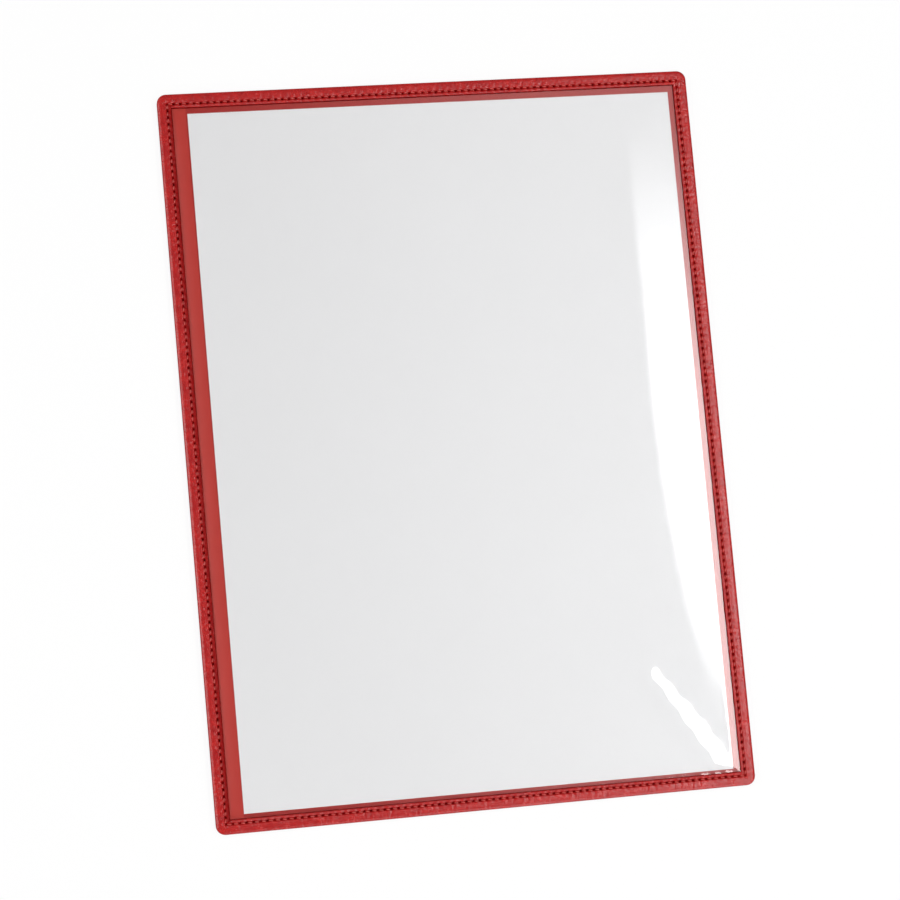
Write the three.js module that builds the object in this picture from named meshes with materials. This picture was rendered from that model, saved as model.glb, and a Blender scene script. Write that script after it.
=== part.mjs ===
// Magnetic document pocket: a clear window pocket for one A4 sheet, bound by a stitched
// leatherette border, with two flexible magnet strips on its back.
//
// The pocket lies on its back. X runs to the right and Y to the top as the window is read,
// Z points out of the window, and all lengths are in millimetres. The origin is under the
// middle of the pocket, on the plane of the magnets' faces.
import * as THREE from 'three';
import { mergeVertices } from 'three/addons/utils/BufferGeometryUtils.js';

// The sheet in the pocket
const SHEET_WIDTH = 210;
const SHEET_LENGTH = 297;
const SHEET_THICKNESS = 0.12;
const SHEET_SLANT = 0.1; // degrees, clockwise as the window is read

// What shows inside the window around the sheet
const STRIP_SHOWN = 6.2; // the red strip on the left, from the border to its free edge
const SHEET_GAP = 0.15; // between the strip's edge and the nearest corner of the sheet
const RIGHT_MARGIN = 2.73;
const TOP_MARGIN = 3;
const BOTTOM_MARGIN = 2;

// The border
const BORDER_WIDTH = 5.7;
const CORNER_RADIUS = 4;
const EDGE_TURN = 0.9; // the leatherette that turns down over the edge of the layers
const EDGE_ROLL = 1.5; // how far in the rounded outer edge reaches
const EDGE_BELLY = 0.7; // the upright part of the outer edge
const CROWN_HEIGHT = 1.35; // the fuller outer bead above the film
const LIP_HEIGHT = 1.1; // the narrow inner bead above the film
const LIP_ROUND = 0.35;
const CROWN_EASE = 0.04; // the fall of the bead halfway from its crown to the seam groove
const CROWN_FALL = 0.15; // the fall of the bead at the edge of the seam groove
const LIP_DIP = 0.1; // the inner bead's fall towards the seam groove
const LAYER_CLEARANCE = 0.3; // from the turned edge to the layers that it encloses

// The lockstitched seam
const SEAM_INSET = 4.15; // the seam's line, from the outer edge
const STITCH_PITCH = 2.9;
const STITCH_SLANT = 0.28; // how far each stitch leans to either side of the seam's line
const HOLE_REACH = 0.24; // from a needle hole's middle to where the thread comes up
const THREAD_WIDTH = 0.5;
const THREAD_FLAT = 0.26; // the width of the thread's top
const THREAD_HEIGHT = 0.36; // at the middle of a stitch
const THREAD_SUNK_HEIGHT = 0.1; // at a needle hole
const THREAD_SEAT = 0.05; // between the thread and what it lies on
const GROOVE_CLEARANCE = 0.12; // beside the thread, on the floor of the groove
const GROOVE_FLOOR = 0.75; // the floor's height above the film
const GROOVE_SLOPE = 0.18;

// The layers, from the back to the front
const MAGNET_THICKNESS = 0.9;
const BACK_THICKNESS = 0.8;
const LINING_THICKNESS = 0.3;
const FILM_THICKNESS = 0.2;
const SHEET_PLAY = 0.08; // between the sheet and the film

// The mouth, a slit through the back and the lining that the strip covers
const MOUTH_WIDTH = 1;
const MOUTH_COVER = 2.6; // from the slit to the strip's free edge
const MOUTH_END = 1.2; // from the slit's ends to the window's edges

// The magnet strips
const MAGNET_WIDTH = 20;
const MAGNET_INSET = 11; // from the pocket's top and bottom edges
const MAGNET_END_INSET = 17; // from the pocket's side edges
const MAGNET_CORNER = 1.5;

const CORNER_STEPS = 6; // facets of each rounded corner
const ROLL_STEPS = 5; // facets of the rounded outer edge
const LIP_STEPS = 3;

// Sizes that follow
const slant = THREE.MathUtils.degToRad(SHEET_SLANT);
const sheetSwing = 0.5 * SHEET_LENGTH * Math.sin(slant); // a corner's shift in X by the slant
const windowWidth = STRIP_SHOWN + SHEET_GAP + 2 * sheetSwing + SHEET_WIDTH + RIGHT_MARGIN;
const windowLength = TOP_MARGIN + SHEET_LENGTH + BOTTOM_MARGIN;
const width = windowWidth + 2 * BORDER_WIDTH;
const length = windowLength + 2 * BORDER_WIDTH;

const windowLeft = -0.5 * windowWidth;
const stripEdge = windowLeft + STRIP_SHOWN;
const sheetMiddle = new THREE.Vector2(
  stripEdge + SHEET_GAP + sheetSwing + 0.5 * SHEET_WIDTH,
  0.5 * (BOTTOM_MARGIN - TOP_MARGIN),
);

const backBottom = MAGNET_THICKNESS;
const backTop = backBottom + BACK_THICKNESS;
const liningTop = backTop + LINING_THICKNESS;
const filmBottom = liningTop + SHEET_THICKNESS + SHEET_PLAY;
const filmTop = filmBottom + FILM_THICKNESS;
const stripThickness = filmBottom - liningTop;

const layerInset = EDGE_TURN + LAYER_CLEARANCE;
const grooveHalf = 0.5 * THREAD_WIDTH + STITCH_SLANT + GROOVE_CLEARANCE;
const grooveOuter = SEAM_INSET - grooveHalf - GROOVE_SLOPE;
const grooveInner = SEAM_INSET + grooveHalf + GROOVE_SLOPE;

// Finishes
const leatherette = new THREE.MeshStandardMaterial({ color: '#b02c2a', roughness: 0.5 });
const smoothRed = new THREE.MeshStandardMaterial({ color: '#b24440', roughness: 0.4 });
const clearFilm = new THREE.MeshStandardMaterial({
  color: '#f4f6f6',
  roughness: 0.08,
  transparent: true,
  opacity: 0.25,
});
const whitePaper = new THREE.MeshStandardMaterial({ color: '#f2f3f4', roughness: 0.85 });
const redThread = new THREE.MeshStandardMaterial({ color: '#c93a36', roughness: 0.6 });
const magnetRubber = new THREE.MeshStandardMaterial({ color: '#2c2a2a', roughness: 0.75 });

/** The radius of the pocket's corner at a distance in from its edge: full at the edge, and
 *  none from the seam groove inwards, where the stitched rows meet in a square corner. */
function cornerRadius(inset) {
  return CORNER_RADIUS * Math.max(0, 1 - inset / grooveOuter);
}

/** A closed mesh that is gathered face by face. Points that coincide become one, and a face
 *  that has shrunk to a line is left out. */
class Shell {
  constructor() {
    this.points = [];
    this.faces = [];
    this.known = new Map();
  }

  point(x, y, z) {
    const key = [x, y, z].map((value) => Math.round(value * 1e4)).join();
    if (!this.known.has(key)) {
      this.known.set(key, this.known.size);
      this.points.push(x, y, z);
    }
    return this.known.get(key);
  }

  triangle(a, b, c) {
    if (a !== b && b !== c && c !== a) {
      this.faces.push(a, b, c);
    }
  }

  /** Joins closed sections of equally many points into a ring. Seen along the way that the
   *  sections follow one another, each one's points go up on the right and down on the left. */
  ring(sections) {
    sections.forEach((section, j) => {
      const next = sections[(j + 1) % sections.length];
      section.forEach((corner, i) => {
        const k = (i + 1) % section.length;
        this.triangle(corner, next[i], next[k]);
        this.triangle(corner, next[k], section[k]);
      });
    });
  }

  geometry() {
    const geometry = new THREE.BufferGeometry();
    geometry.setAttribute('position', new THREE.Float32BufferAttribute(this.points, 3));
    geometry.setIndex(this.faces);
    const facets = geometry.toNonIndexed();
    facets.computeVertexNormals();
    return mergeVertices(facets);
  }
}

/** Points of a quarter ellipse from angle to angle, as [inset, height] pairs. */
function quarterRound(centre, radii, fromAngle, toAngle, steps) {
  return Array.from({ length: steps + 1 }, (_, i) => {
    const angle = THREE.MathUtils.lerp(fromAngle, toAngle, i / steps);
    return [centre[0] + radii[0] * Math.cos(angle), centre[1] + radii[1] * Math.sin(angle)];
  });
}

/** The border's section as [inset, height] pairs: up the turned edge, over the outer bead,
 *  through the seam groove, over the lip and back along the film. */
function borderSection() {
  const belly = filmTop + EDGE_BELLY;
  const crown = filmTop + CROWN_HEIGHT;
  const lip = filmTop + LIP_HEIGHT;
  const floor = filmTop + GROOVE_FLOOR;
  return [
    [0, backTop],
    ...quarterRound(
      [EDGE_ROLL, belly],
      [EDGE_ROLL, crown - belly],
      Math.PI,
      0.5 * Math.PI,
      ROLL_STEPS,
    ),
    [0.5 * (EDGE_ROLL + grooveOuter), crown - CROWN_EASE],
    [grooveOuter, crown - CROWN_FALL],
    [SEAM_INSET - grooveHalf, floor],
    [SEAM_INSET + grooveHalf, floor],
    [grooveInner, lip - LIP_DIP],
    ...quarterRound(
      [BORDER_WIDTH - LIP_ROUND, lip - LIP_ROUND],
      [LIP_ROUND, LIP_ROUND],
      0.5 * Math.PI,
      0,
      LIP_STEPS,
    ),
    [BORDER_WIDTH, filmTop],
    [EDGE_TURN, filmTop],
    [EDGE_TURN, backTop],
  ];
}

/** The border: its section carried once round the pocket, through four corners. */
function borderGeometry() {
  const shell = new Shell();
  const section = borderSection();
  const columns = [];
  const corners = [[1, -1], [1, 1], [-1, 1], [-1, -1]];
  corners.forEach(([sideX, sideY], turn) => {
    for (let step = 0; step <= CORNER_STEPS; step += 1) {
      const angle = (turn - 1 + step / CORNER_STEPS) * 0.5 * Math.PI;
      columns.push(section.map(([inset, height]) => {
        const radius = cornerRadius(inset);
        return shell.point(
          sideX * (0.5 * width - inset - radius) + radius * Math.cos(angle),
          sideY * (0.5 * length - inset - radius) + radius * Math.sin(angle),
          height,
        );
      }));
    }
  });
  shell.ring(columns);
  return shell.geometry();
}

/** The four rows of the seam, counterclockwise as the window is read. Each has its start,
 *  its direction, its outward side, its stitch count and its pitch. */
function seamRows() {
  const x = 0.5 * width - SEAM_INSET;
  const y = 0.5 * length - SEAM_INSET;
  const corners = [[-x, -y], [x, -y], [x, y], [-x, y]].map((at) => new THREE.Vector2(...at));
  return corners.map((start, i) => {
    const along = corners[(i + 1) % corners.length].clone().sub(start);
    const run = along.length();
    const count = Math.max(2, Math.round(run / STITCH_PITCH));
    along.normalize();
    const outward = new THREE.Vector2(along.y, -along.x);
    return { start, along, outward, count, pitch: run / count };
  });
}

/** The needle thread on the front. Each stitch comes up at the inner side of one needle hole,
 *  arches over the leatherette and goes down at the outer side of the next hole. */
function frontThreadGeometry() {
  const shell = new Shell();
  const bottom = filmTop + GROOVE_FLOOR + THREAD_SEAT;
  const sections = [];
  for (const { start, along, outward, count, pitch } of seamRows()) {
    const stations = [
      { at: HOLE_REACH, lean: -STITCH_SLANT, height: THREAD_SUNK_HEIGHT },
      { at: 0.5 * pitch, lean: 0, height: THREAD_HEIGHT },
      { at: pitch - HOLE_REACH, lean: STITCH_SLANT, height: THREAD_SUNK_HEIGHT },
    ];
    for (let stitch = 0; stitch < count; stitch += 1) {
      for (const { at, lean, height } of stations) {
        const middle = start.clone().addScaledVector(along, stitch * pitch + at);
        const corner = (side, rise) => {
          const point = middle.clone().addScaledVector(outward, lean + side);
          return shell.point(point.x, point.y, bottom + rise);
        };
        sections.push([
          corner(0.5 * THREAD_WIDTH, 0),
          corner(0.5 * THREAD_FLAT, height),
          corner(-0.5 * THREAD_FLAT, height),
          corner(-0.5 * THREAD_WIDTH, 0),
        ]);
      }
    }
  }
  shell.ring(sections);
  return shell.geometry();
}

/** The bobbin thread on the back: a straight row, proud between the needle holes and drawn in
 *  at each of them, with a mitred section at each corner of the seam. */
function backThreadGeometry() {
  const shell = new Shell();
  const top = backBottom - THREAD_SEAT;
  const half = 0.5 * THREAD_WIDTH;
  const rows = seamRows();
  const sections = [];
  rows.forEach(({ start, along, outward, count, pitch }, i) => {
    const before = rows[(i + rows.length - 1) % rows.length].outward;
    for (let station = 0; station < 2 * count; station += 1) {
      const sunk = station % 2 === 0;
      const side = station === 0 ? before.clone().add(outward) : outward;
      const middle = start.clone().addScaledVector(along, 0.5 * station * pitch);
      const outer = middle.clone().addScaledVector(side, half);
      const inner = middle.clone().addScaledVector(side, -half);
      sections.push([
        shell.point(middle.x, middle.y, top - (sunk ? THREAD_SUNK_HEIGHT : THREAD_HEIGHT)),
        shell.point(outer.x, outer.y, top),
        shell.point(inner.x, inner.y, top),
      ]);
    }
  });
  shell.ring(sections);
  return shell.geometry();
}

/** A rectangle with one radius for its two left corners and another for its two right ones. */
function panelShape({ left, right, bottom, top, leftRadius, rightRadius }) {
  const shape = new THREE.Shape();
  const corners = [
    [right, bottom, rightRadius, -1, 1],
    [right, top, rightRadius, -1, -1],
    [left, top, leftRadius, 1, -1],
    [left, bottom, leftRadius, 1, 1],
  ];
  corners.forEach(([x, y, radius, inX, inY], turn) => {
    if (radius > 0) {
      const from = (turn - 1) * 0.5 * Math.PI;
      shape.absarc(x + inX * radius, y + inY * radius, radius, from, from + 0.5 * Math.PI, false);
    } else if (turn === 0) {
      shape.moveTo(x, y);
    } else {
      shape.lineTo(x, y);
    }
  });
  shape.closePath();
  return shape;
}

/** A panel that reaches under the border on all sides but those that are given. */
function layerShape(edges = {}) {
  const radius = cornerRadius(layerInset);
  return panelShape({
    left: layerInset - 0.5 * width,
    right: 0.5 * width - layerInset,
    bottom: layerInset - 0.5 * length,
    top: 0.5 * length - layerInset,
    leftRadius: radius,
    rightRadius: radius,
    ...edges,
  });
}

function plate(shape, bottom, thickness) {
  const geometry = new THREE.ExtrudeGeometry(shape, {
    depth: thickness,
    bevelEnabled: false,
    curveSegments: CORNER_STEPS,
  });
  geometry.translate(0, 0, bottom);
  return geometry;
}

/** The slit of the mouth, where the sheet goes in from behind and passes under the strip. */
function mouthSlit() {
  const right = stripEdge - MOUTH_COVER;
  const left = right - MOUTH_WIDTH;
  const end = 0.5 * windowLength - MOUTH_END;
  return new THREE.Path([
    new THREE.Vector2(left, -end),
    new THREE.Vector2(left, end),
    new THREE.Vector2(right, end),
    new THREE.Vector2(right, -end),
  ]);
}

/** The back cover, which the mouth's slit goes through. */
function backGeometry() {
  const shape = panelShape({
    left: -0.5 * width,
    right: 0.5 * width,
    bottom: -0.5 * length,
    top: 0.5 * length,
    leftRadius: CORNER_RADIUS,
    rightRadius: CORNER_RADIUS,
  });
  shape.holes.push(mouthSlit());
  return plate(shape, backBottom, BACK_THICKNESS);
}

/** The red lining behind the sheet, with the same slit. */
function liningGeometry() {
  const shape = layerShape();
  shape.holes.push(mouthSlit());
  return plate(shape, backTop, LINING_THICKNESS);
}

/** The strip: a flap that is sewn in along the left side, over the mouth's slit. */
function stripGeometry() {
  return plate(layerShape({ right: stripEdge, rightRadius: 0 }), liningTop, stripThickness);
}

function sheetGeometry() {
  const geometry = new THREE.BoxGeometry(SHEET_WIDTH, SHEET_LENGTH, SHEET_THICKNESS);
  geometry.translate(0, 0, 0.5 * SHEET_THICKNESS);
  return geometry;
}

/** One magnet strip; side is 1 for the strip at the top and -1 for the one at the bottom. */
function magnetGeometry(side) {
  const outer = 0.5 * length - MAGNET_INSET;
  const inner = outer - MAGNET_WIDTH;
  const shape = panelShape({
    left: MAGNET_END_INSET - 0.5 * width,
    right: 0.5 * width - MAGNET_END_INSET,
    bottom: Math.min(side * inner, side * outer),
    top: Math.max(side * inner, side * outer),
    leftRadius: MAGNET_CORNER,
    rightRadius: MAGNET_CORNER,
  });
  return plate(shape, 0, MAGNET_THICKNESS);
}

const pocket = new THREE.Group();

function add(name, geometry, material) {
  const mesh = new THREE.Mesh(geometry, material);
  mesh.name = name;
  pocket.add(mesh);
  return mesh;
}

add('magnet_strip_top', magnetGeometry(1), magnetRubber);
add('magnet_strip_bottom', magnetGeometry(-1), magnetRubber);
add('back_cover', backGeometry(), leatherette);
add('lining_sheet', liningGeometry(), smoothRed);
add('edge_strip', stripGeometry(), smoothRed);
add('window_film', plate(layerShape(), filmBottom, FILM_THICKNESS), clearFilm);
add('front_frame', borderGeometry(), leatherette);
add('front_thread', frontThreadGeometry(), redThread);
add('back_thread', backThreadGeometry(), redThread);

const sheet = add('paper_sheet', sheetGeometry(), whitePaper);
sheet.position.set(sheetMiddle.x, sheetMiddle.y, liningTop);
sheet.rotation.z = -slant;

export default pocket;
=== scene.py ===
"""The finish of a magnetic document pocket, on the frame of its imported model.

The pocket lies on its back on a pale floor. Lengths inside the classes are in millimetres,
in the model's own frame: X to the right, Y to the top of the window and Z out of it. They
are turned to metres where a mesh is written.
"""

import logging
import math
from dataclasses import dataclass
from enum import Enum
from typing import Any

import bmesh
import bpy
import numpy as np
from mathutils import Matrix, Vector


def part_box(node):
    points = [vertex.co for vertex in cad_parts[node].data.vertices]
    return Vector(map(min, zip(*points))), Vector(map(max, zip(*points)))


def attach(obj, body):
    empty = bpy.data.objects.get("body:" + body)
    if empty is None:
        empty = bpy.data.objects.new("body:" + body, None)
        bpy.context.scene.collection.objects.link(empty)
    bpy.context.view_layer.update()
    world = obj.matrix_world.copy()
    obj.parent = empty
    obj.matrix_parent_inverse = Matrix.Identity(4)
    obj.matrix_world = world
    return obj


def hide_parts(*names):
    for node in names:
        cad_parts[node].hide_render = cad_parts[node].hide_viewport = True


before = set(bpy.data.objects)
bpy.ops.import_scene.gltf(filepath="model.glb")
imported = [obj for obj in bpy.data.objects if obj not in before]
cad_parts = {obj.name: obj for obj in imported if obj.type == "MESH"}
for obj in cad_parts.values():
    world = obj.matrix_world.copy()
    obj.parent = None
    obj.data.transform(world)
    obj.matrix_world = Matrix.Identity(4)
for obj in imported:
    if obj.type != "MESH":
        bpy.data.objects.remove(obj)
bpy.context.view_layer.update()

LOG = logging.getLogger("pocket")
MM = 0.001
ROOT_BODY = "root"
WELD_M = 1e-7  # points closer than this are one point
EDGE_SLACK_MM = 0.01  # a point this close to an edge counts as on it


def box_mm(node: str) -> tuple[np.ndarray, np.ndarray]:
    """Gives a node's lowest and highest corners.

    Args:
        node: The name of the node.

    Returns:
        The two corners, in millimetres.
    """
    low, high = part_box(node)
    return np.array(low) / MM, np.array(high) / MM


def linear(hex_colour: str) -> tuple[float, float, float, float]:
    """Turns an sRGB colour to the linear one that the shaders take.

    Args:
        hex_colour: Six hex digits after a hash sign.

    Returns:
        Red, green, blue and an alpha of 1.
    """
    parts = [int(hex_colour[i:i + 2], 16) / 255 for i in (1, 3, 5)]
    low = [part / 12.92 for part in parts]
    high = [((part + 0.055) / 1.055) ** 2.4 for part in parts]
    red, green, blue = (a if part <= 0.04045 else b for part, a, b in zip(parts, low, high))
    return red, green, blue, 1.0


def add_node(
    tree: bpy.types.NodeTree,
    kind: str,
    inputs: dict[str | int, Any] | None = None,
    **settings: Any,
) -> bpy.types.Node:
    """Adds a node with its settings and its inputs.

    Args:
        tree: The node tree that takes the node.
        kind: The node's type.
        inputs: For each input, the output socket that feeds it or its own value.
        settings: The node's properties.

    Returns:
        The node.
    """
    node = tree.nodes.new(kind)
    for name, value in settings.items():
        setattr(node, name, value)
    for name, value in (inputs or {}).items():
        if isinstance(value, bpy.types.NodeSocket):
            tree.links.new(value, node.inputs[name])
        else:
            node.inputs[name].default_value = value
    return node


def empty_material(name: str) -> tuple[bpy.types.Material, bpy.types.NodeTree]:
    """Makes a material with no nodes yet.

    Args:
        name: The material's name.

    Returns:
        The material and its node tree.
    """
    material = bpy.data.materials.new(name)
    material.use_nodes = True
    material.node_tree.nodes.clear()
    return material, material.node_tree


def per_metre(size_mm: float) -> float:
    """Gives the texture scale at which a pattern on metres has a feature of that size."""
    return 1 / (size_mm * MM)


def grid_faces(rows: int, columns: int, close_rows: bool, close_columns: bool) -> np.ndarray:
    """Numbers the four corners of each cell of a grid.

    Args:
        rows: The count of rows of points.
        columns: The count of columns of points.
        close_rows: Whether the last row joins the first one.
        close_columns: Whether the last column joins the first one.

    Returns:
        An array of quads, each turned from its row and column towards the next column first.
    """
    i, j = np.meshgrid(
        np.arange(rows if close_rows else rows - 1),
        np.arange(columns if close_columns else columns - 1),
        indexing="ij",
    )
    next_i, next_j = (i + 1) % rows, (j + 1) % columns
    here, after = i * columns, next_i * columns
    corners = (here + j, here + next_j, after + next_j, after + j)
    return np.stack([corner.ravel() for corner in corners], axis=1)


def make_piece(
    name: str,
    points_mm: np.ndarray,
    quads: np.ndarray,
    material: bpy.types.Material,
    node: str,
    maps: dict[str, np.ndarray] | None = None,
) -> bpy.types.Object:
    """Writes a closed mesh, merges the points that coincide and puts it in a node's place.

    Args:
        name: The piece's name.
        points_mm: One point a row, in millimetres.
        quads: Four point numbers a row.
        material: Its finish.
        node: The node that the piece stands for.
        maps: For each UV map its name and a position for each point, or nothing.

    Returns:
        The piece.
    """
    mesh = bpy.data.meshes.new(name)
    mesh.vertices.add(len(points_mm))
    mesh.vertices.foreach_set("co", (points_mm * MM).astype(np.float32).ravel())
    mesh.loops.add(quads.size)
    mesh.loops.foreach_set("vertex_index", quads.astype(np.int32).ravel())
    mesh.polygons.add(len(quads))
    mesh.polygons.foreach_set("loop_start", np.arange(0, quads.size, 4, dtype=np.int32))
    mesh.update(calc_edges=True)
    for map_name, places in (maps or {}).items():
        layer = mesh.uv_layers.new(name=map_name)
        layer.data.foreach_set("uv", places[quads.ravel()].astype(np.float32).ravel())
    mesh.validate()
    work = bmesh.new()
    work.from_mesh(mesh)
    bmesh.ops.remove_doubles(work, verts=work.verts, dist=WELD_M)
    work.to_mesh(mesh)
    work.free()
    mesh.polygons.foreach_set("use_smooth", np.ones(len(mesh.polygons), dtype=bool))
    mesh.materials.append(material)
    piece = bpy.data.objects.new(name, mesh)
    bpy.context.collection.objects.link(piece)
    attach(piece, ROOT_BODY)
    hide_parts(node)
    LOG.info("%s: %d faces", name, len(mesh.polygons))
    return piece


def dress_node(node: str, material: bpy.types.Material) -> None:
    """Gives a node that keeps its own mesh its finish.

    Args:
        node: The node's name.
        material: The finish.
    """
    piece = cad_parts[node]
    piece.data.materials.clear()
    piece.data.materials.append(material)
    LOG.info("%s: dressed as %s", node, material.name)


@dataclass(frozen=True)
class Leatherette:
    """Vinyl-coated cloth, embossed with a fine leather grain: soft gloss, pebbles under 1 mm.

    Along a seam its map gives the distance round and the inset in millimetres, for the
    puckers that run across it, and a second map gives how much painted shade each place takes.
    """

    name: str = "vinyl_leatherette"
    colour: str = "#bb1916"
    deep_colour: str = "#a71012"
    # painted shade: the colour that the shade map mixes in
    shade_colour: str = "#420305"
    blotch: tuple[float, float] = (0.35, 0.65)  # deep below the first height, plain above both
    roughness: float = 0.26
    roughness_spread: float = 0.06
    ior: float = 1.5
    sheen: float = 0.55
    sheen_gone: float = 0.5  # the shade from which nothing shines
    grain_mm: float = 0.7
    grain_uneven: float = 0.9
    grain_depth_mm: float = 0.09
    crease_mm: float = 4.0
    crease_depth_mm: float = 0.12
    pucker_mm: tuple[float, float] = (1.1, 5.0)
    pucker_depth_mm: float = 0.2

    def build(self) -> bpy.types.Material:
        """Builds the finish: a pebble grain over soft creases, darker in the low places, with
        painted shade from the second map.

        Returns:
            The material.
        """
        material, tree = empty_material(self.name)
        place = add_node(tree, "ShaderNodeTexCoord").outputs["Object"]
        along = add_node(tree, "ShaderNodeUVMap", uv_map="along").outputs["UV"]
        shade_map = add_node(tree, "ShaderNodeUVMap", uv_map="shade").outputs["UV"]
        shade = add_node(tree, "ShaderNodeSeparateXYZ", {"Vector": shade_map}).outputs["X"]
        grain = add_node(
            tree, "ShaderNodeTexVoronoi",
            {
                "Vector": place,
                "Scale": per_metre(self.grain_mm),
                "Randomness": self.grain_uneven,
            },
            feature="SMOOTH_F1",
        ).outputs["Distance"]
        crease = add_node(
            tree, "ShaderNodeTexNoise",
            {"Vector": place, "Scale": per_metre(self.crease_mm), "Detail": 4.0, "Roughness": 0.6},
        ).outputs["Fac"]
        across = add_node(
            tree, "ShaderNodeMapping",
            {"Vector": along, "Scale": (1 / self.pucker_mm[0], 1 / self.pucker_mm[1], 1.0)},
        ).outputs["Vector"]
        pucker = add_node(
            tree, "ShaderNodeTexNoise", {"Vector": across, "Scale": 1.0, "Detail": 3.0}
        ).outputs["Fac"]
        blotch = add_node(
            tree, "ShaderNodeMapRange", {"Value": crease, 1: self.blotch[0], 2: self.blotch[1]}
        ).outputs["Result"]
        tint = add_node(
            tree, "ShaderNodeMix",
            {"Factor": blotch, "A": linear(self.deep_colour), "B": linear(self.colour)},
            data_type="RGBA",
        ).outputs[2]
        # mixes in the painted shade of the second map
        shaded = add_node(
            tree, "ShaderNodeMix",
            {"Factor": shade, "A": tint, "B": linear(self.shade_colour)},
            data_type="RGBA",
        ).outputs[2]
        gloss = add_node(
            tree, "ShaderNodeMapRange",
            {
                "Value": crease,
                3: self.roughness - self.roughness_spread,
                4: self.roughness + self.roughness_spread,
            },
        ).outputs["Result"]
        sheen = add_node(
            tree, "ShaderNodeMapRange",
            {0: shade, 1: 0.0, 2: self.sheen_gone, 3: self.sheen, 4: 0.0},
        ).outputs["Result"]
        creased = add_node(
            tree, "ShaderNodeBump",
            {"Height": crease, "Strength": 1.0, "Distance": self.crease_depth_mm * MM},
        ).outputs["Normal"]
        puckered = add_node(
            tree, "ShaderNodeBump",
            {
                "Height": pucker,
                "Strength": 1.0,
                "Distance": self.pucker_depth_mm * MM,
                "Normal": creased,
            },
        ).outputs["Normal"]
        grained = add_node(
            tree, "ShaderNodeBump",
            {
                "Height": grain,
                "Strength": 1.0,
                "Distance": self.grain_depth_mm * MM,
                "Normal": puckered,
            },
        ).outputs["Normal"]
        shader = add_node(
            tree, "ShaderNodeBsdfPrincipled",
            {
                "Base Color": shaded,
                "Roughness": gloss,
                "IOR": self.ior,
                "Specular IOR Level": sheen,
                "Normal": grained,
            },
        )
        add_node(tree, "ShaderNodeOutputMaterial", {"Surface": shader.outputs["BSDF"]})
        return material


@dataclass(frozen=True)
class SmoothVinyl:
    """Calendered vinyl sheet: an even colour and a smooth face with very slight waves."""

    name: str = "calendered_vinyl"
    colour: str = "#c1342a"
    roughness: float = 0.42
    ior: float = 1.53
    wave_mm: float = 12.0
    wave_depth_mm: float = 0.05

    def build(self) -> bpy.types.Material:
        """Builds the finish.

        Returns:
            The material.
        """
        material, tree = empty_material(self.name)
        place = add_node(tree, "ShaderNodeTexCoord").outputs["Object"]
        wave = add_node(
            tree, "ShaderNodeTexNoise",
            {"Vector": place, "Scale": per_metre(self.wave_mm), "Detail": 2.0},
        ).outputs["Fac"]
        waved = add_node(
            tree, "ShaderNodeBump",
            {"Height": wave, "Strength": 1.0, "Distance": self.wave_depth_mm * MM},
        )
        shader = add_node(
            tree, "ShaderNodeBsdfPrincipled",
            {
                "Base Color": linear(self.colour),
                "Roughness": self.roughness,
                "IOR": self.ior,
                "Normal": waved.outputs["Normal"],
            },
        )
        add_node(tree, "ShaderNodeOutputMaterial", {"Surface": shader.outputs["BSDF"]})
        return material


@dataclass(frozen=True)
class ClearFilm:
    """Clear vinyl film: what lies behind shows unchanged under the two faces' reflections."""

    name: str = "clear_vinyl_film"
    ior: float = 1.53
    roughness: float = 0.04
    faces: float = 2.0
    wave_mm: float = 30.0
    wave_depth_mm: float = 0.02

    def build(self) -> bpy.types.Material:
        """Builds the finish: clear, with the mirror share of both faces put on the outer one.

        Returns:
            The material.
        """
        material, tree = empty_material(self.name)
        place = add_node(tree, "ShaderNodeTexCoord").outputs["Object"]
        wave = add_node(
            tree, "ShaderNodeTexNoise",
            {"Vector": place, "Scale": per_metre(self.wave_mm), "Detail": 2.0},
        ).outputs["Fac"]
        waved = add_node(
            tree, "ShaderNodeBump",
            {"Height": wave, "Strength": 1.0, "Distance": self.wave_depth_mm * MM},
        ).outputs["Normal"]
        mirror = add_node(tree, "ShaderNodeFresnel", {"IOR": self.ior}).outputs["Fac"]
        inner = add_node(tree, "ShaderNodeNewGeometry").outputs["Backfacing"]
        outer = add_node(
            tree, "ShaderNodeMath", {0: 1.0, 1: inner}, operation="SUBTRACT"
        ).outputs["Value"]
        both = add_node(
            tree, "ShaderNodeMath", {0: mirror, 1: self.faces}, operation="MULTIPLY"
        ).outputs["Value"]
        share = add_node(
            tree, "ShaderNodeMath", {0: both, 1: outer}, operation="MULTIPLY", use_clamp=True
        ).outputs["Value"]
        clear = add_node(tree, "ShaderNodeBsdfTransparent").outputs["BSDF"]
        gloss = add_node(
            tree, "ShaderNodeBsdfAnisotropic", {"Roughness": self.roughness, "Normal": waved}
        ).outputs["BSDF"]
        mix = add_node(tree, "ShaderNodeMixShader", {0: share, 1: clear, 2: gloss})
        add_node(tree, "ShaderNodeOutputMaterial", {"Surface": mix.outputs["Shader"]})
        return material


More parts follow.
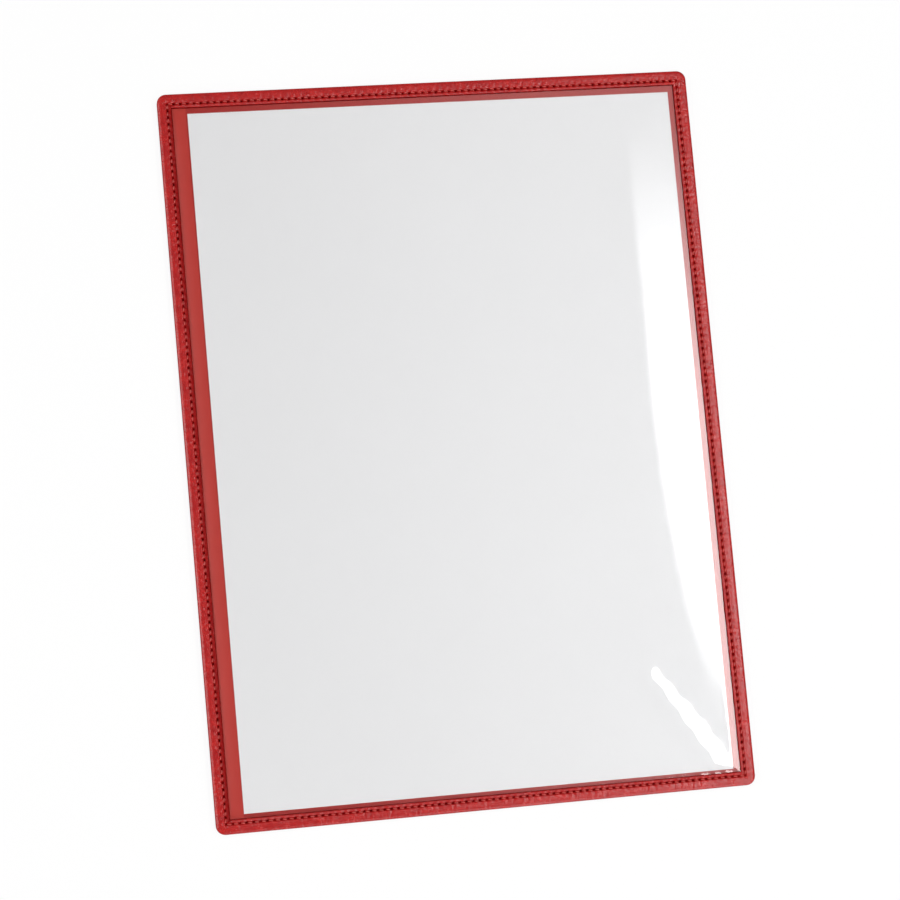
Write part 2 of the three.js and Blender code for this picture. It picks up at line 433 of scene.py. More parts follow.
@dataclass(frozen=True)
class CopierPaper:
    """Uncoated wood-free paper: matt white, with a faint cloud of fibres.

    Real fibres are about 0.02 mm wide. They are drawn this coarse because finer ones would
    not show.
    """

    name: str = "copier_paper"
    colour: str = "#f0f0f1"
    cloud_colour: str = "#ededee"
    roughness: float = 0.9
    sheen: float = 0.3
    cloud_mm: float = 4.0
    fibre_mm: float = 0.4
    fibre_depth_mm: float = 0.01

    def build(self) -> bpy.types.Material:
        """Builds the finish.

        Returns:
            The material.
        """
        material, tree = empty_material(self.name)
        place = add_node(tree, "ShaderNodeTexCoord").outputs["Object"]
        cloud = add_node(
            tree, "ShaderNodeTexNoise",
            {"Vector": place, "Scale": per_metre(self.cloud_mm), "Detail": 3.0},
        ).outputs["Fac"]
        fibre = add_node(
            tree, "ShaderNodeTexNoise",
            {"Vector": place, "Scale": per_metre(self.fibre_mm), "Detail": 2.0},
        ).outputs["Fac"]
        tint = add_node(
            tree, "ShaderNodeMix",
            {"Factor": cloud, "A": linear(self.colour), "B": linear(self.cloud_colour)},
            data_type="RGBA",
        )
        rough = add_node(
            tree, "ShaderNodeBump",
            {"Height": fibre, "Strength": 1.0, "Distance": self.fibre_depth_mm * MM},
        )
        shader = add_node(
            tree, "ShaderNodeBsdfPrincipled",
            {
                "Base Color": tint.outputs[2],
                "Roughness": self.roughness,
                "Specular IOR Level": self.sheen,
                "Normal": rough.outputs["Normal"],
            },
        )
        add_node(tree, "ShaderNodeOutputMaterial", {"Surface": shader.outputs["BSDF"]})
        return material


@dataclass(frozen=True)
class PolyesterThread:
    """Two-ply polyester sewing thread: slanted plies and a silky gloss, with a painted highlight on
    the ply crowns and painted shade in the valleys between them.
    """

    name: str = "polyester_thread"
    # the thread's red, made lighter as a painted highlight on the ply crowns
    colour: str = "#e0655d"
    # painted shade in the valleys between the plies
    valley_shade_colour: str = "#b32a28"
    roughness: float = 0.32
    ior: float = 1.57
    ply_mm: float = 0.6
    ply_uneven: float = 0.4
    ply_depth_mm: float = 0.05
    ply_strength: float = 0.8

    def build(self) -> bpy.types.Material:
        """Builds the finish: bands along the thread, turned by its own map to lie slanted, with
        painted highlight on the crowns and painted shade in the valleys.

        Returns:
            The material.
        """
        material, tree = empty_material(self.name)
        place = add_node(tree, "ShaderNodeUVMap", uv_map="along").outputs["UV"]
        ply = add_node(
            tree, "ShaderNodeTexWave",
            {
                "Vector": place,
                "Scale": 1 / self.ply_mm,
                "Distortion": self.ply_uneven,
                "Detail": 1.0,
            },
            wave_type="BANDS",
            bands_direction="DIAGONAL",
        ).outputs["Fac"]
        # mixes the painted shade of the valleys with the painted highlight of the crowns
        tint = add_node(
            tree, "ShaderNodeMix",
            {"Factor": ply, "A": linear(self.valley_shade_colour), "B": linear(self.colour)},
            data_type="RGBA",
        )
        twisted = add_node(
            tree, "ShaderNodeBump",
            {
                "Height": ply,
                "Strength": self.ply_strength,
                "Distance": self.ply_depth_mm * MM,
            },
        )
        shader = add_node(
            tree, "ShaderNodeBsdfPrincipled",
            {
                "Base Color": tint.outputs[2],
                "Roughness": self.roughness,
                "IOR": self.ior,
                "Normal": twisted.outputs["Normal"],
            },
        )
        add_node(tree, "ShaderNodeOutputMaterial", {"Surface": shader.outputs["BSDF"]})
        return material


@dataclass(frozen=True)
class MagnetRubber:
    """Ferrite-filled rubber, rolled into a sheet: near black, matt, with faint roll lines."""

    name: str = "ferrite_rubber"
    colour: str = "#2b2827"
    line_colour: str = "#383432"
    roughness: float = 0.68
    line_mm: float = 1.2
    line_stretch: float = 0.03
    line_depth_mm: float = 0.02

    def build(self) -> bpy.types.Material:
        """Builds the finish.

        Returns:
            The material.
        """
        material, tree = empty_material(self.name)
        place = add_node(tree, "ShaderNodeTexCoord").outputs["Object"]
        stretched = add_node(
            tree, "ShaderNodeMapping", {"Vector": place, "Scale": (self.line_stretch, 1.0, 1.0)}
        ).outputs["Vector"]
        lines = add_node(
            tree, "ShaderNodeTexNoise",
            {"Vector": stretched, "Scale": per_metre(self.line_mm), "Detail": 3.0},
        ).outputs["Fac"]
        tint = add_node(
            tree, "ShaderNodeMix",
            {"Factor": lines, "A": linear(self.colour), "B": linear(self.line_colour)},
            data_type="RGBA",
        )
        rolled = add_node(
            tree, "ShaderNodeBump",
            {"Height": lines, "Strength": 1.0, "Distance": self.line_depth_mm * MM},
        )
        shader = add_node(
            tree, "ShaderNodeBsdfPrincipled",
            {
                "Base Color": tint.outputs[2],
                "Roughness": self.roughness,
                "Normal": rolled.outputs["Normal"],
            },
        )
        add_node(tree, "ShaderNodeOutputMaterial", {"Surface": shader.outputs["BSDF"]})
        return material


class Side(Enum):
    """A straight side of the pocket, with its direction of travel and its outward one."""

    BOTTOM = ((1.0, 0.0), (0.0, -1.0))
    RIGHT = ((0.0, 1.0), (1.0, 0.0))
    TOP = ((-1.0, 0.0), (0.0, 1.0))
    LEFT = ((0.0, -1.0), (-1.0, 0.0))


@dataclass
class Seam:
    """The lockstitched seam: where its needle holes lie round the pocket."""

    half_size: np.ndarray
    inset: float = 4.15
    pitch: float = 2.9

    def half_run(self, side: Side) -> float:
        """Gives half the length of a side's row of stitches."""
        along = np.abs(np.array(side.value[0]))
        return float(along @ (self.half_size - self.inset))

    def count(self, side: Side) -> int:
        """Gives how many stitches a side's row has."""
        return round(2 * self.half_run(side) / self.pitch)

    def step(self, side: Side) -> float:
        """Gives the exact pitch of a side's stitches, which fill it from corner to corner."""
        return 2 * self.half_run(side) / self.count(side)

    def place(self, side: Side, along: np.ndarray, outward: np.ndarray) -> np.ndarray:
        """Gives the points at distances along a side's row and outward from it.

        Args:
            side: The side of the pocket.
            along: Distances from the row's first needle hole.
            outward: Distances out from the row, negative towards the window.

        Returns:
            An array of X and Y, one point a row.
        """
        travel, out = (np.array(part) for part in side.value)
        reach = float(np.abs(out) @ (self.half_size - self.inset))
        ahead = along - self.half_run(side)
        return np.outer(ahead, travel) + np.outer(outward + reach, out)


@dataclass
class StitchedBorder:
    """The one-piece leatherette border, drawn in by each stitch of the seam."""

    seam: Seam
    half_size: np.ndarray
    base: float
    film_top: float
    crown: float
    width: float = 6.0
    corner_radius: float = 4.0
    edge_turn: float = 0.9
    edge_roll: float = 1.5
    belly: float = 0.7
    back_bevel: float = 0.15
    lip_fall: float = 0.25
    lip_round: float = 0.6
    wall_back: float = 0.05
    wall_foot: float = 0.12
    valley_depth: float = 0.45
    valley_half: float = 0.75
    puff: float = 0.14
    puff_from_seam: float = 1.0
    puff_half: float = 0.6
    hole_depth: float = 0.8
    hole_along: float = 0.58
    hole_across: float = 0.46
    hole_shift: float = 0.2
    # painted shade of the needle holes
    hole_shade: float = 1.35
    uneven: float = 0.3
    uneven_seed: int = 7
    thinnest: float = 0.05
    # painted shade of the seam, the inner lip, the wall and the outer rim
    seam_shade: float = 0.3
    seam_shade_shift: float = 0.1
    seam_shade_half: float = 0.45
    lip_shade: float = 0.42
    lip_shade_from: float = 4.5
    lip_shade_over: float = 0.5
    lip_shade_least: float = 0.1  # its share on the sides other than the left one
    wall_shade: float = 0.7
    rim_shade: float = 0.3
    rim_shade_width: float = 0.2
    columns_per_stitch: int = 6
    corner_columns: int = 12
    top_rows: int = 25
    roll_rows: int = 7
    lip_rows: int = 8

    def radius(self, inset: np.ndarray) -> np.ndarray:
        """Gives the corner radius at each inset: full at the edge, none near the seam."""
        groove = self.seam.inset - self.valley_half
        return self.corner_radius * np.clip(1 - inset / groove, 0, None)

    def section(self) -> tuple[np.ndarray, np.ndarray, np.ndarray]:
        """Gives the border's section, without the stitches.

        The top is a quarter ellipse over the outer edge, a flat crown, a valley of one cosine
        wave across the seam, a lower inner bead and a round fall over its lip. The section
        then closes along the film and down the inside of the turned edge.

        Returns:
            For each point the inset, the height and how far the stitches move it.
        """
        ease = 0.5 - 0.5 * np.cos(np.linspace(0, np.pi, self.lip_rows))
        roll = self.edge_roll * (1 - np.cos(np.linspace(0, 0.5 * np.pi, self.roll_rows)))
        brink = self.width - self.wall_back
        middle = np.linspace(self.edge_roll, brink - self.lip_round, self.top_rows)[1:-1]
        lip = brink - self.lip_round * (1 - np.sin(0.5 * np.pi * ease))
        inset = np.concatenate([roll, middle, lip])
        rise = self.crown - self.film_top - self.belly
        shoulder = np.sqrt(np.clip(1 - (1 - inset / self.edge_roll) ** 2, 0, None))
        height = self.film_top + self.belly + rise * np.where(inset < self.edge_roll, shoulder, 1)
        across = np.clip(np.abs(inset - self.seam.inset) / self.valley_half, 0, 1)
        height -= self.valley_depth * (0.5 + 0.5 * np.cos(np.pi * across))
        inner = np.clip((inset - self.seam.inset) / self.valley_half, 0, 1)
        height -= self.lip_fall * inner
        fall = np.clip((inset - brink + self.lip_round) / self.lip_round, 0, 1)
        height -= self.lip_round * (1 - np.sqrt(1 - fall**2))
        foot = self.width + self.wall_foot
        under = np.array([
            [0.5 * (brink + foot), 0.5 * (height[-1] + self.film_top)],
            [foot, self.film_top],
            [self.edge_turn, self.film_top],
            [self.edge_turn, self.base],
            [self.back_bevel, self.base],
            [0.0, self.base + self.back_bevel],
        ])
        moved = np.concatenate([np.ones(len(inset)), np.zeros(len(under))])
        inset = np.concatenate([inset, under[:, 0]])
        height = np.concatenate([height, under[:, 1]])
        return inset, height, moved

    def columns(self, inset: np.ndarray) -> tuple[np.ndarray, np.ndarray, np.ndarray]:
        """Carries the insets once round the pocket, counterclockwise.

        Each side's columns lie evenly from corner to corner, and each corner's lie evenly
        round its arc, which has no radius from the seam inwards.

        Args:
            inset: The insets of the section's points.

        Returns:
            X, Y and the distance round, each with a row for a point and a column for a column.
        """
        radius = self.radius(inset)
        xs, ys, rounds = [], [], []
        start = 0.0
        for turn, side in enumerate(Side):
            travel, out = (np.array(part) for part in side.value)
            half_run = np.abs(travel) @ self.half_size - inset - radius
            reach = np.abs(out) @ self.half_size - inset
            count = self.seam.count(side) * self.columns_per_stitch
            ahead = np.outer(half_run, np.linspace(-1, 1, count + 1))
            xs.append(ahead * travel[0] + (reach * out[0])[:, None])
            ys.append(ahead * travel[1] + (reach * out[1])[:, None])
            run = 2 * self.seam.half_run(side)
            rounds.append(np.broadcast_to(start + np.linspace(0, run, count + 1), ahead.shape))
            start += run
            angle = 0.5 * np.pi * (turn - 1 + np.linspace(0, 1, self.corner_columns + 1)[1:-1])
            corner = travel + out
            xs.append((corner[0] * (self.half_size[0] - inset - radius))[:, None]
                      + np.outer(radius, np.cos(angle)))
            ys.append((corner[1] * (self.half_size[1] - inset - radius))[:, None]
                      + np.outer(radius, np.sin(angle)))
            rounds.append(np.full((len(inset), len(angle)), start))
        return np.hstack(xs), np.hstack(ys), np.hstack(rounds)

    def drawn_in(self, x: np.ndarray, y: np.ndarray) -> tuple[np.ndarray, np.ndarray]:
        """Gives how far the stitches raise or lower the leatherette, and where the holes' painted
        shade lies.

        Each needle hole is a bell-shaped dent about its own place, and no two are equally
        deep. Between them the leatherette beside the seam puffs up as a cosine wave.

        Args:
            x: X of each point.
            y: Y of each point.

        Returns:
            The height to add at each point, and the painted shade from 0 to 1.
        """
        lift = np.zeros_like(x)
        shade = np.zeros_like(x)
        insets = {
            side: np.abs(np.array(side.value[1])) @ self.half_size
            - (x * side.value[1][0] + y * side.value[1][1])
            for side in Side
        }
        nearest = np.min(np.stack(list(insets.values())), axis=0)
        chance = np.random.default_rng(self.uneven_seed)
        for side, inset in insets.items():
            here = inset == nearest
            travel = side.value[0]
            run = x * travel[0] + y * travel[1] + self.seam.half_run(side)
            step = self.seam.step(side)
            hole = np.clip(np.round(run / step), 0, self.seam.count(side))
            along = run - hole * step
            across = inset - self.seam.inset - self.hole_shift
            dent = np.exp(-((along / self.hole_along) ** 2) - (across / self.hole_across) ** 2)
            depths = 1 - self.uneven * chance.random(self.seam.count(side) + 1)
            dent = dent * depths[hole.astype(int)]
            from_seam = np.abs(inset - self.seam.inset)
            beside = np.exp(-(((from_seam - self.puff_from_seam) / self.puff_half) ** 2))
            swell = -np.cos(2 * np.pi * run / step) * beside * self.puff
            lift = np.where(here, swell - self.hole_depth * dent, lift)
            shade = np.where(here, dent, shade)
        return lift, shade

    def shaded(self, x: np.ndarray, wide: np.ndarray, holes: np.ndarray) -> np.ndarray:
        """Gives how much painted shade each point takes: the deepest of five parts.

        The needle holes shade by their own dents and the seam by a bell across it. The inner
        lip shades on the left side, where it turns from the light, the wall below the lip all
        over, and the outer rim as it nears the edge.

        Args:
            x: X of each point.
            wide: The inset of each point.
            holes: The shade of the needle holes.

        Returns:
            The painted shade from 0 to 1.
        """
        off_seam = (wide - self.seam.inset - self.seam_shade_shift) / self.seam_shade_half
        seam = self.seam_shade * np.exp(-(off_seam**2))
        left = np.clip(self.width + 1 - self.half_size[0] - x, self.lip_shade_least, 1)
        on_lip = np.clip((wide - self.lip_shade_from) / self.lip_shade_over, 0, 1)
        wall = self.wall_shade * (wide > self.width - self.wall_back - EDGE_SLACK_MM)
        rim = self.rim_shade * np.clip(1 - wide / self.rim_shade_width, 0, 1)
        parts = [self.hole_shade * holes, seam, self.lip_shade * left * on_lip, wall, rim]
        return np.clip(np.max(parts, axis=0), 0, 1)

    def build(self, material: bpy.types.Material) -> bpy.types.Object:
        """Builds the border.

        Args:
            material: Its finish.

        Returns:
            The piece.
        """
        inset, height, moved = self.section()
        x, y, around = self.columns(inset)
        lift, shade = self.drawn_in(x, y)
        z = height[:, None] + moved[:, None] * lift
        z = np.where(moved[:, None] > 0, np.maximum(z, self.film_top + self.thinnest), z)
        z = np.minimum(z, self.crown)
        points = np.stack([x, y, z], axis=-1).reshape(-1, 3)
        wide = np.broadcast_to(inset[:, None], x.shape)
        shade = self.shaded(x, wide, shade)
        maps = {
            "along": np.stack([around, wide], axis=-1).reshape(-1, 2),
            "shade": np.stack([shade, shade], axis=-1).reshape(-1, 2),
        }
        quads = grid_faces(len(inset), x.shape[1], True, True)
        return make_piece(
            "border_stitched", points, quads, material, "front_frame", maps
        )


@dataclass
class SewingThread:
    """One thread of the lockstitch, as a tube that goes once round the pocket."""

    name: str
    node: str
    seam: Seam
    surface: float
    up: float
    thickness: float = 0.5
    lean: float = 0.28
    rise: float = 0.2
    sunk: float = 0.5
    arch_power: float = 0.4
    plies: float = 0.1
    twist_mm: float = 1.3
    stations: int = 9
    facets: int = 8
    end_reach: float = 0.19

    def centre_line(self) -> tuple[np.ndarray, np.ndarray, np.ndarray]:
        """Gives the thread's middle line.

        Along each stitch the thread leans from the inner side to the outer one. Its height
        is a flat arch, a sine to a low power, above the surface and sunk at the holes.

        Returns:
            The points, the outward direction at each and the distance along.
        """
        share = np.linspace(self.end_reach, 1 - self.end_reach, self.stations)
        arch = np.sin(np.pi * (share - self.end_reach) / (1 - 2 * self.end_reach))
        arch = arch**self.arch_power
        places, outs, runs = [], [], []
        start = 0.0
        for side in Side:
            step, count = self.seam.step(side), self.seam.count(side)
            along = (np.arange(count)[:, None] + share).ravel() * step
            leaning = np.tile(self.lean * (2 * share - 1), count)
            rising = np.tile((self.rise + self.sunk) * arch - self.sunk, count)
            flat = self.seam.place(side, along, leaning)
            places.append(np.column_stack([flat, self.surface + self.up * rising]))
            outs.append(np.tile(side.value[1], (len(along), 1)))
            runs.append(start + along)
            start += count * step
        return np.vstack(places), np.vstack(outs), np.concatenate(runs)

    def build(self, material: bpy.types.Material) -> bpy.types.Object:
        """Builds the thread: a round section with two slight plies that turn as it runs.

        Args:
            material: Its finish.

        Returns:
            The piece.
        """
        middle, out, run = self.centre_line()
        angle = np.linspace(0, 2 * np.pi, self.facets, endpoint=False)
        turn = 2 * np.pi * run / self.twist_mm
        radius = 0.5 * self.thickness * (1 + self.plies * np.cos(2 * (angle[:, None] - turn)))
        flat = middle[None, :, :2] + (radius * np.cos(angle)[:, None])[..., None] * out[None]
        height = middle[None, :, 2] + radius * np.sin(angle)[:, None]
        points = np.concatenate([flat, height[..., None]], axis=-1).reshape(-1, 3)
        girth = np.broadcast_to((angle * 0.5 * self.thickness)[:, None], radius.shape)
        uv = np.stack([np.broadcast_to(run, radius.shape), girth], axis=-1).reshape(-1, 2)
        quads = grid_faces(self.facets, len(run), True, True)
        maps = {"along": uv}
        return make_piece(self.name, points, quads, material, self.node, maps)


@dataclass
class WindowFilm:
    """The clear film: held flat under the border, just off the sheet, with a ridge in it."""

    half_size: np.ndarray
    bottom: float
    top: float
    border: float = 5.7  # the solid border's width, where the film starts to rise
    tucked: float = 1.2  # from the film's edge to the pocket's
    bulge: float = 0.12
    rise_width: float = 26.0
    step_height: float = 0.09
    step_width: float = 4.2
    held_width: float = 5.0
    ridge_start: tuple[float, float] = (73.3, -107.0)
    ridge_finish: tuple[float, float] = (97.0, -144.5)
    ridge_height: tuple[float, float] = (0.23, 0.24)
    ridge_half: tuple[float, float] = (4.4, 4.9)
    ridge_end: float = 4.0
    ridge_sway: float = 0.4
    sway_mm: float = 11.0
    ripple_height: float = 0.2
    ripple_mm: float = 6.5
    ripple_slope: float = 0.8
    ripple_slant: float = 0.6
    ripple_sway: tuple[float, float] = (1.5, 4.0)
    ripple_middle: tuple[float, float] = (90.0, -151.4)
    ripple_half: tuple[float, float] = (22.0, 2.2)
    fine_from: tuple[float, float] = (50.0, -85.0)
    columns: tuple[int, int] = (60, 110)
    rows: tuple[int, int] = (110, 100)

    def fading(self, x: np.ndarray, y: np.ndarray, width: float) -> np.ndarray:
        """Gives a smooth step that rises from 0 at each edge of the window to 1 inside.

        The step is a cubic, 3 t squared less 2 t cubed, of the share t of the width.

        Args:
            x: X of each point.
            y: Y of each point.
            width: How far in the step reaches.

        Returns:
            The step's height at each point, from 0 to 1.
        """
        total = np.ones_like(x)
        open_half = self.half_size - self.border + self.tucked
        for at, half in ((x, open_half[0]), (y, open_half[1])):
            for sign in (-1, 1):
                share = np.clip((half - sign * at) / width, 0, 1)
                total = total * share * share * (3 - 2 * share)
        return total

    def ridge(self, x: np.ndarray, y: np.ndarray) -> np.ndarray:
        """Gives the ridge: a bell across its swaying line, wider and higher to the corner.

        Args:
            x: X of each point.
            y: Y of each point.

        Returns:
            The ridge's height at each point.
        """
        start, end = np.array(self.ridge_start), np.array(self.ridge_finish)
        run = end - start
        size = float(np.hypot(*run))
        share = ((x - start[0]) * run[0] + (y - start[1]) * run[1]) / size**2
        off = ((x - start[0]) * -run[1] + (y - start[1]) * run[0]) / size
        off = off + self.ridge_sway * np.sin(2 * np.pi * share * size / self.sway_mm)
        grown = np.clip(share, 0, 1)
        half = self.ridge_half[0] + (self.ridge_half[1] - self.ridge_half[0]) * grown
        height = self.ridge_height[0] + (self.ridge_height[1] - self.ridge_height[0]) * grown
        ends = np.exp(-((np.clip(-share, 0, None) * size / self.ridge_end) ** 2))
        return height * ends * np.exp(-((off / half) ** 2))

    def ripples(self, x: np.ndarray, y: np.ndarray) -> np.ndarray:
        """Gives the ripples by the lower right corner: slow falls and short rises in turn.

        Each fall and rise is a straight ramp along a slanted, swaying line, under a bell.

        Args:
            x: X of each point.
            y: Y of each point.

        Returns:
            The ripples' height at each point.
        """
        (middle_x, middle_y), (half_x, half_y) = self.ripple_middle, self.ripple_half
        near = np.exp(-(((x - middle_x) / half_x) ** 2) - ((y - middle_y) / half_y) ** 2)
        sway, sway_mm = self.ripple_sway
        run = x + self.ripple_slant * y + sway * np.sin(x / sway_mm)
        share = run / self.ripple_mm % 1
        falls = 1 - share / self.ripple_slope
        rises = (share - self.ripple_slope) / (1 - self.ripple_slope)
        return self.ripple_height * near * np.where(share < self.ripple_slope, falls, rises)

    def lift(self, x: np.ndarray, y: np.ndarray) -> np.ndarray:
        """Gives how far the film stands above its flat place.

        Args:
            x: X of each point.
            y: Y of each point.

        Returns:
            The height to add at each point.
        """
        held = self.fading(x, y, self.held_width)
        wide = self.bulge * self.fading(x, y, self.rise_width)
        step = self.step_height * self.fading(x, y, self.step_width)
        return wide + step + held * self.ridge(x, y) + self.ripples(x, y)

    def build(self, material: bpy.types.Material) -> bpy.types.Object:
        """Builds the film: its two faces as one grid each, joined round their rims.

        Args:
            material: Its finish.

        Returns:
            The piece.
        """
        half_x, half_y = self.half_size
        across = np.concatenate([
            np.linspace(-half_x, self.fine_from[0], self.columns[0])[:-1],
            np.linspace(self.fine_from[0], half_x, self.columns[1]),
        ])
        along = np.concatenate([
            np.linspace(-half_y, self.fine_from[1], self.rows[0])[:-1],
            np.linspace(self.fine_from[1], half_y, self.rows[1]),
        ])
        y, x = np.meshgrid(along, across, indexing="ij")
        lift = self.lift(x, y)
        upper = np.stack([x, y, self.top + lift], axis=-1).reshape(-1, 3)
        lower = np.stack([x, y, self.bottom + lift], axis=-1).reshape(-1, 3)
        quads = grid_faces(len(along), len(across), False, False)
        number = np.arange(x.size).reshape(x.shape)
        rim = np.concatenate([
            number[0, :-1], number[:-1, -1], number[-1, :0:-1], number[:0:-1, 0]
        ])
        after = np.roll(rim, -1)
        count = number.size
        walls = np.stack([rim, rim + count, after + count, after], axis=1)
        faces = np.vstack([quads, quads[:, ::-1] + count, walls])
        return make_piece(
            "film_bulged", np.vstack([upper, lower]), faces, material, "window_film"
        )


@dataclass
class Studio:
    """The floor, the lamps and the camera of the picture."""

    lens_px: float = 2575.72
    frame_px: int = 900
    sensor_mm: float = 36.0
    centre_px: tuple[float, float] = (503.27, 535.91)
    eye_mm: tuple[float, float, float] = (-173.4, -135.9, 1080.1)
    right: tuple[float, float, float] = (0.9821, -0.0916, 0.1646)
    down: tuple[float, float, float] = (-0.0758, -0.9921, -0.1001)
    world_strength: float = 0.27
    floor_size: float = 8.0
    floor_white: float = 0.92
    floor_grey: float = 0.97
    floor_gap: float = 0.0002
    scrim_x: tuple[float, float] = (-0.08, 0.65)
    scrim_y: tuple[float, float] = (-0.32, 0.56)
    scrim_height: float = 1.0
    bright: float = 6.5
    bright_from: float = 0.329
    bright_edge: float = 0.012
    bow: float = 0.56
    bow_from: float = 0.17
    fade: tuple[float, float] = (0.12, 0.42)
    spill: float = 0.8
    spill_from: float = -0.4

    def camera(self) -> bpy.types.Object:
        """Makes the camera at the photograph's viewing angle.

        Returns:
            The camera.
        """
        data = bpy.data.cameras.new("camera")
        data.sensor_fit = "HORIZONTAL"
        data.sensor_width = self.sensor_mm
        data.lens = self.lens_px / self.frame_px * self.sensor_mm
        half = 0.5 * self.frame_px
        data.shift_x = (half - self.centre_px[0]) / self.frame_px
        data.shift_y = (self.centre_px[1] - half) / self.frame_px
        data.clip_start = 0.01
        data.dof.use_dof = False
        camera = bpy.data.objects.new("camera", data)
        right = Vector(self.right).normalized()
        up = -Vector(self.down)
        up = (up - right * up.dot(right)).normalized()
        back = right.cross(up)
        turn = Matrix((right, up, back)).transposed().to_4x4()
        camera.matrix_world = Matrix.Translation(Vector(self.eye_mm) * MM) @ turn
        bpy.context.collection.objects.link(camera)
        bpy.context.scene.camera = camera
        return camera

    def lamp(
        self,
        name: str,
        place: tuple[float, float, float],
        size: tuple[float, float],
        radiance: float,
    ) -> None:
        """Adds a soft rectangular lamp that faces the pocket.

        Args:
            name: Its name.
            place: Its middle, in metres.
            size: Its two sides, in metres.
            radiance: How bright its face looks, where 1 is white.
        """
        data = bpy.data.lights.new(name, "AREA")
        data.shape = "RECTANGLE"
        data.size, data.size_y = size
        data.energy = radiance * math.pi * size[0] * size[1]
        lamp = bpy.data.objects.new(name, data)
        lamp.location = place
        lamp.rotation_euler = (-Vector(place)).to_track_quat("-Z", "Y").to_euler()
        bpy.context.collection.objects.link(lamp)

    def stand(
        self, name: str, corners: list[tuple[float, float, float]], material: bpy.types.Material
    ) -> None:
        """Adds a flat panel of the studio, whose map is its own X and Y in metres.

        Args:
            name: Its name.
            corners: Its four corners, in metres.
            material: Its finish.
        """
        mesh = bpy.data.meshes.new(name)
        mesh.from_pydata(corners, [], [(0, 1, 2, 3)])
        layer = mesh.uv_layers.new(name="metres")
        layer.data.foreach_set("uv", np.array(corners)[:, :2].astype(np.float32).ravel())
        mesh.materials.append(material)
        panel = bpy.data.objects.new(name, mesh)
        bpy.context.collection.objects.link(panel)

    def floor(self) -> None:
        """Makes the plain pale floor, which the camera sees as white with a faint shadow."""
        half = 0.5 * self.floor_size
        low = -self.floor_gap
        corners = [(-half, -half, low), (half, -half, low), (half, half, low), (-half, half, low)]
        material, tree = empty_material("white_floor")
        path = add_node(tree, "ShaderNodeLightPath")
        seen = add_node(
            tree, "ShaderNodeMath",
            {0: path.outputs["Is Camera Ray"], 1: self.floor_white},
            operation="MULTIPLY",
        ).outputs["Value"]
        grey = (self.floor_grey, self.floor_grey, self.floor_grey, 1.0)
        diffuse = add_node(tree, "ShaderNodeBsdfDiffuse", {"Color": grey}).outputs["BSDF"]
        white = add_node(tree, "ShaderNodeEmission", {"Strength": 1.0}).outputs["Emission"]
        mix = add_node(tree, "ShaderNodeMixShader", {0: seen, 1: diffuse, 2: white})
        add_node(tree, "ShaderNodeOutputMaterial", {"Surface": mix.outputs["Shader"]})
        self.stand("floor", corners, material)

    def scrim(self) -> None:
        """Makes the lit panel that the film mirrors: its map gives X and Y in metres.

        Its bright part starts at a left edge that bows to the right as it goes down, and
        fades towards the top. Left of that edge the panel grows brighter from left to right.
        """
        material, tree = empty_material("lit_scrim")
        place = add_node(tree, "ShaderNodeUVMap", uv_map="metres").outputs["UV"]
        split = add_node(tree, "ShaderNodeSeparateXYZ", {"Vector": place})
        below = add_node(
            tree, "ShaderNodeMath",
            {0: self.bow_from, 1: split.outputs["Y"]},
            operation="SUBTRACT",
        ).outputs["Value"]
        off = add_node(
            tree, "ShaderNodeMath", {0: below, 1: 0.0}, operation="MAXIMUM"
        ).outputs["Value"]
        square = add_node(
            tree, "ShaderNodeMath", {0: off, 1: off}, operation="MULTIPLY"
        ).outputs["Value"]
        edge = add_node(
            tree, "ShaderNodeMath",
            {0: square, 1: self.bow, 2: self.bright_from},
            operation="MULTIPLY_ADD",
        ).outputs["Value"]
        beyond = add_node(
            tree, "ShaderNodeMath", {0: split.outputs["X"], 1: edge}, operation="SUBTRACT"
        ).outputs["Value"]
        bright = add_node(
            tree, "ShaderNodeMapRange", {0: beyond, 1: 0.0, 2: self.bright_edge},
            interpolation_type="SMOOTHSTEP",
        ).outputs["Result"]
        fade = add_node(
            tree, "ShaderNodeMapRange",
            {0: split.outputs["Y"], 1: self.fade[0], 2: self.fade[1], 3: self.bright, 4: 0.0},
            interpolation_type="SMOOTHSTEP",
        ).outputs["Result"]
        spill = add_node(
            tree, "ShaderNodeMapRange",
            {0: beyond, 1: self.spill_from, 2: 0.0, 3: 0.0, 4: self.spill},
            interpolation_type="SMOOTHSTEP",
        ).outputs["Result"]
        strength = add_node(
            tree, "ShaderNodeMath", {0: bright, 1: fade, 2: spill}, operation="MULTIPLY_ADD"
        ).outputs["Value"]
        light = add_node(tree, "ShaderNodeEmission", {"Strength": strength})
        add_node(tree, "ShaderNodeOutputMaterial", {"Surface": light.outputs["Emission"]})
        (left, right), (low, high), up = self.scrim_x, self.scrim_y, self.scrim_height
        corners = [(left, low, up), (left, high, up), (right, high, up), (right, low, up)]
        self.stand("scrim", corners, material)

    def world(self) -> None:
        """Makes the even light of the room, which the camera itself sees as white."""
        world = bpy.data.worlds.new("studio")
        world.use_nodes = True
        tree = world.node_tree
        tree.nodes.clear()
        path = add_node(tree, "ShaderNodeLightPath")
        light = add_node(
            tree, "ShaderNodeBackground",
            {"Color": (1.0, 1.0, 1.0, 1.0), "Strength": self.world_strength},
        ).outputs["Background"]
        white = add_node(tree, "ShaderNodeBackground", {"Color": (1.0, 1.0, 1.0, 1.0)})
        mix = add_node(
            tree, "ShaderNodeMixShader",
            {0: path.outputs["Is Camera Ray"], 1: light, 2: white.outputs["Background"]},
        )
        add_node(tree, "ShaderNodeOutputWorld", {"Surface": mix.outputs["Shader"]})
        bpy.context.scene.world = world

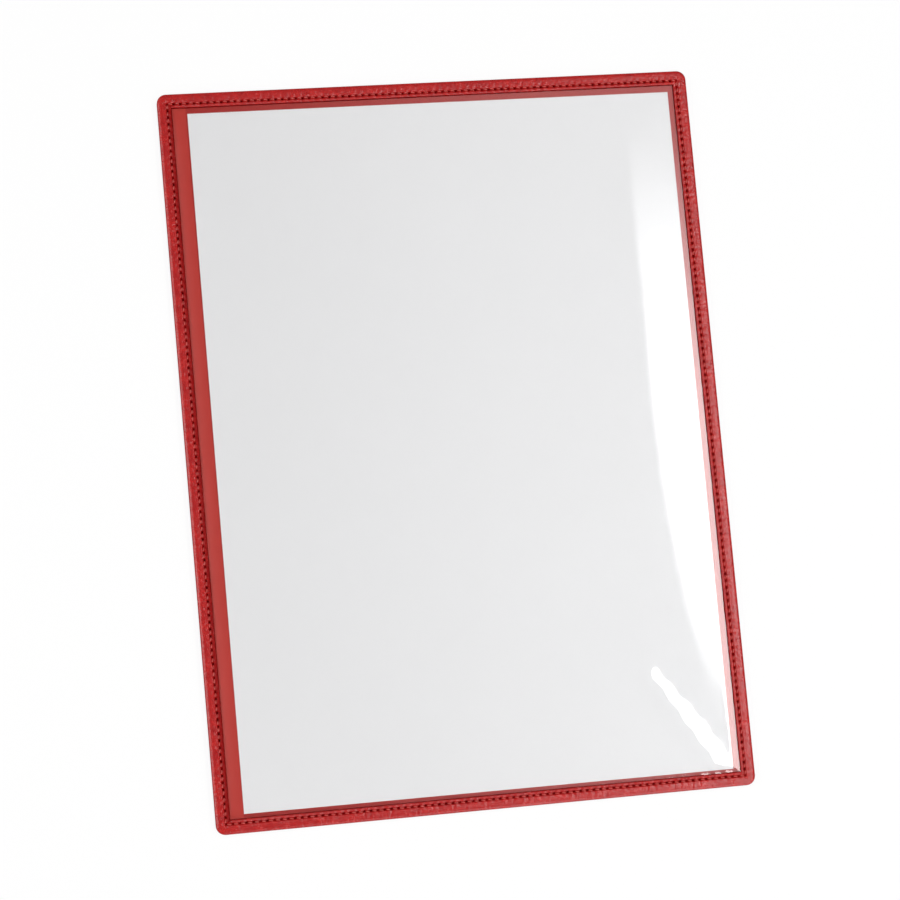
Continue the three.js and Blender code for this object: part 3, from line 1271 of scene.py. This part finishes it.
    def build(self) -> None:
        """Builds the camera, the room and the lamps."""
        self.camera()
        self.floor()
        self.world()
        self.scrim()
        self.lamp("softbox_left", place=(-1.0, 0.1, 1.2), size=(1.0, 1.0), radiance=3.3)
        self.lamp("softbox_below", place=(0.45, -0.85, 0.9), size=(0.8, 0.8), radiance=3.1)


@dataclass
class Pocket:
    """The whole pocket, on the frame's nodes."""

    needle_seat: float = 0.1  # how far its thread's line lies above the solid thread's lowest point
    bobbin_seat: float = 0.05  # how far its thread's line lies below the solid thread's top
    bobbin_lean: float = 0.05
    bobbin_sunk: float = 0.1
    # the strip's vinyl made darker, as painted shade on the window's margins
    lining_shaded_colour: str = "#ae2620"

    def build(self) -> None:
        """Builds every piece and dresses the nodes that keep their own mesh."""
        low, high = box_mm("front_frame")
        film_low, film_high = box_mm("window_film")
        half_size = 0.5 * (high - low)[:2]
        leatherette = Leatherette().build()
        vinyl = SmoothVinyl().build()
        thread = PolyesterThread().build()
        magnet = MagnetRubber().build()
        seam = Seam(half_size)
        border = StitchedBorder(seam, half_size, low[2], film_high[2], high[2])
        border.build(leatherette)
        needle_line = box_mm("front_thread")[0][2] + self.needle_seat
        SewingThread("needle_thread", "front_thread", seam, needle_line, 1.0).build(thread)
        bobbin_line = box_mm("back_thread")[1][2] - self.bobbin_seat
        SewingThread(
            "bobbin_thread", "back_thread", seam, bobbin_line, -1.0,
            lean=self.bobbin_lean, sunk=self.bobbin_sunk,
        ).build(thread)
        film_half = 0.5 * (film_high - film_low)[:2]
        WindowFilm(film_half, film_low[2], film_high[2]).build(ClearFilm().build())
        dress_node("back_cover", leatherette)
        dress_node("edge_strip", vinyl)
        # the lining is the strip's vinyl with painted shade in its colour
        lining = SmoothVinyl("calendered_vinyl_shaded", self.lining_shaded_colour).build()
        dress_node("lining_sheet", lining)
        dress_node("paper_sheet", CopierPaper().build())
        dress_node("magnet_strip_top", magnet)
        dress_node("magnet_strip_bottom", magnet)


def main() -> None:
    """Builds the studio and the pocket."""
    logging.basicConfig(level=logging.INFO, format="%(name)s: %(message)s")
    bpy.context.scene.view_settings.view_transform = "Standard"
    Studio().build()
    Pocket().build()


if __name__ == "__main__":
    main()
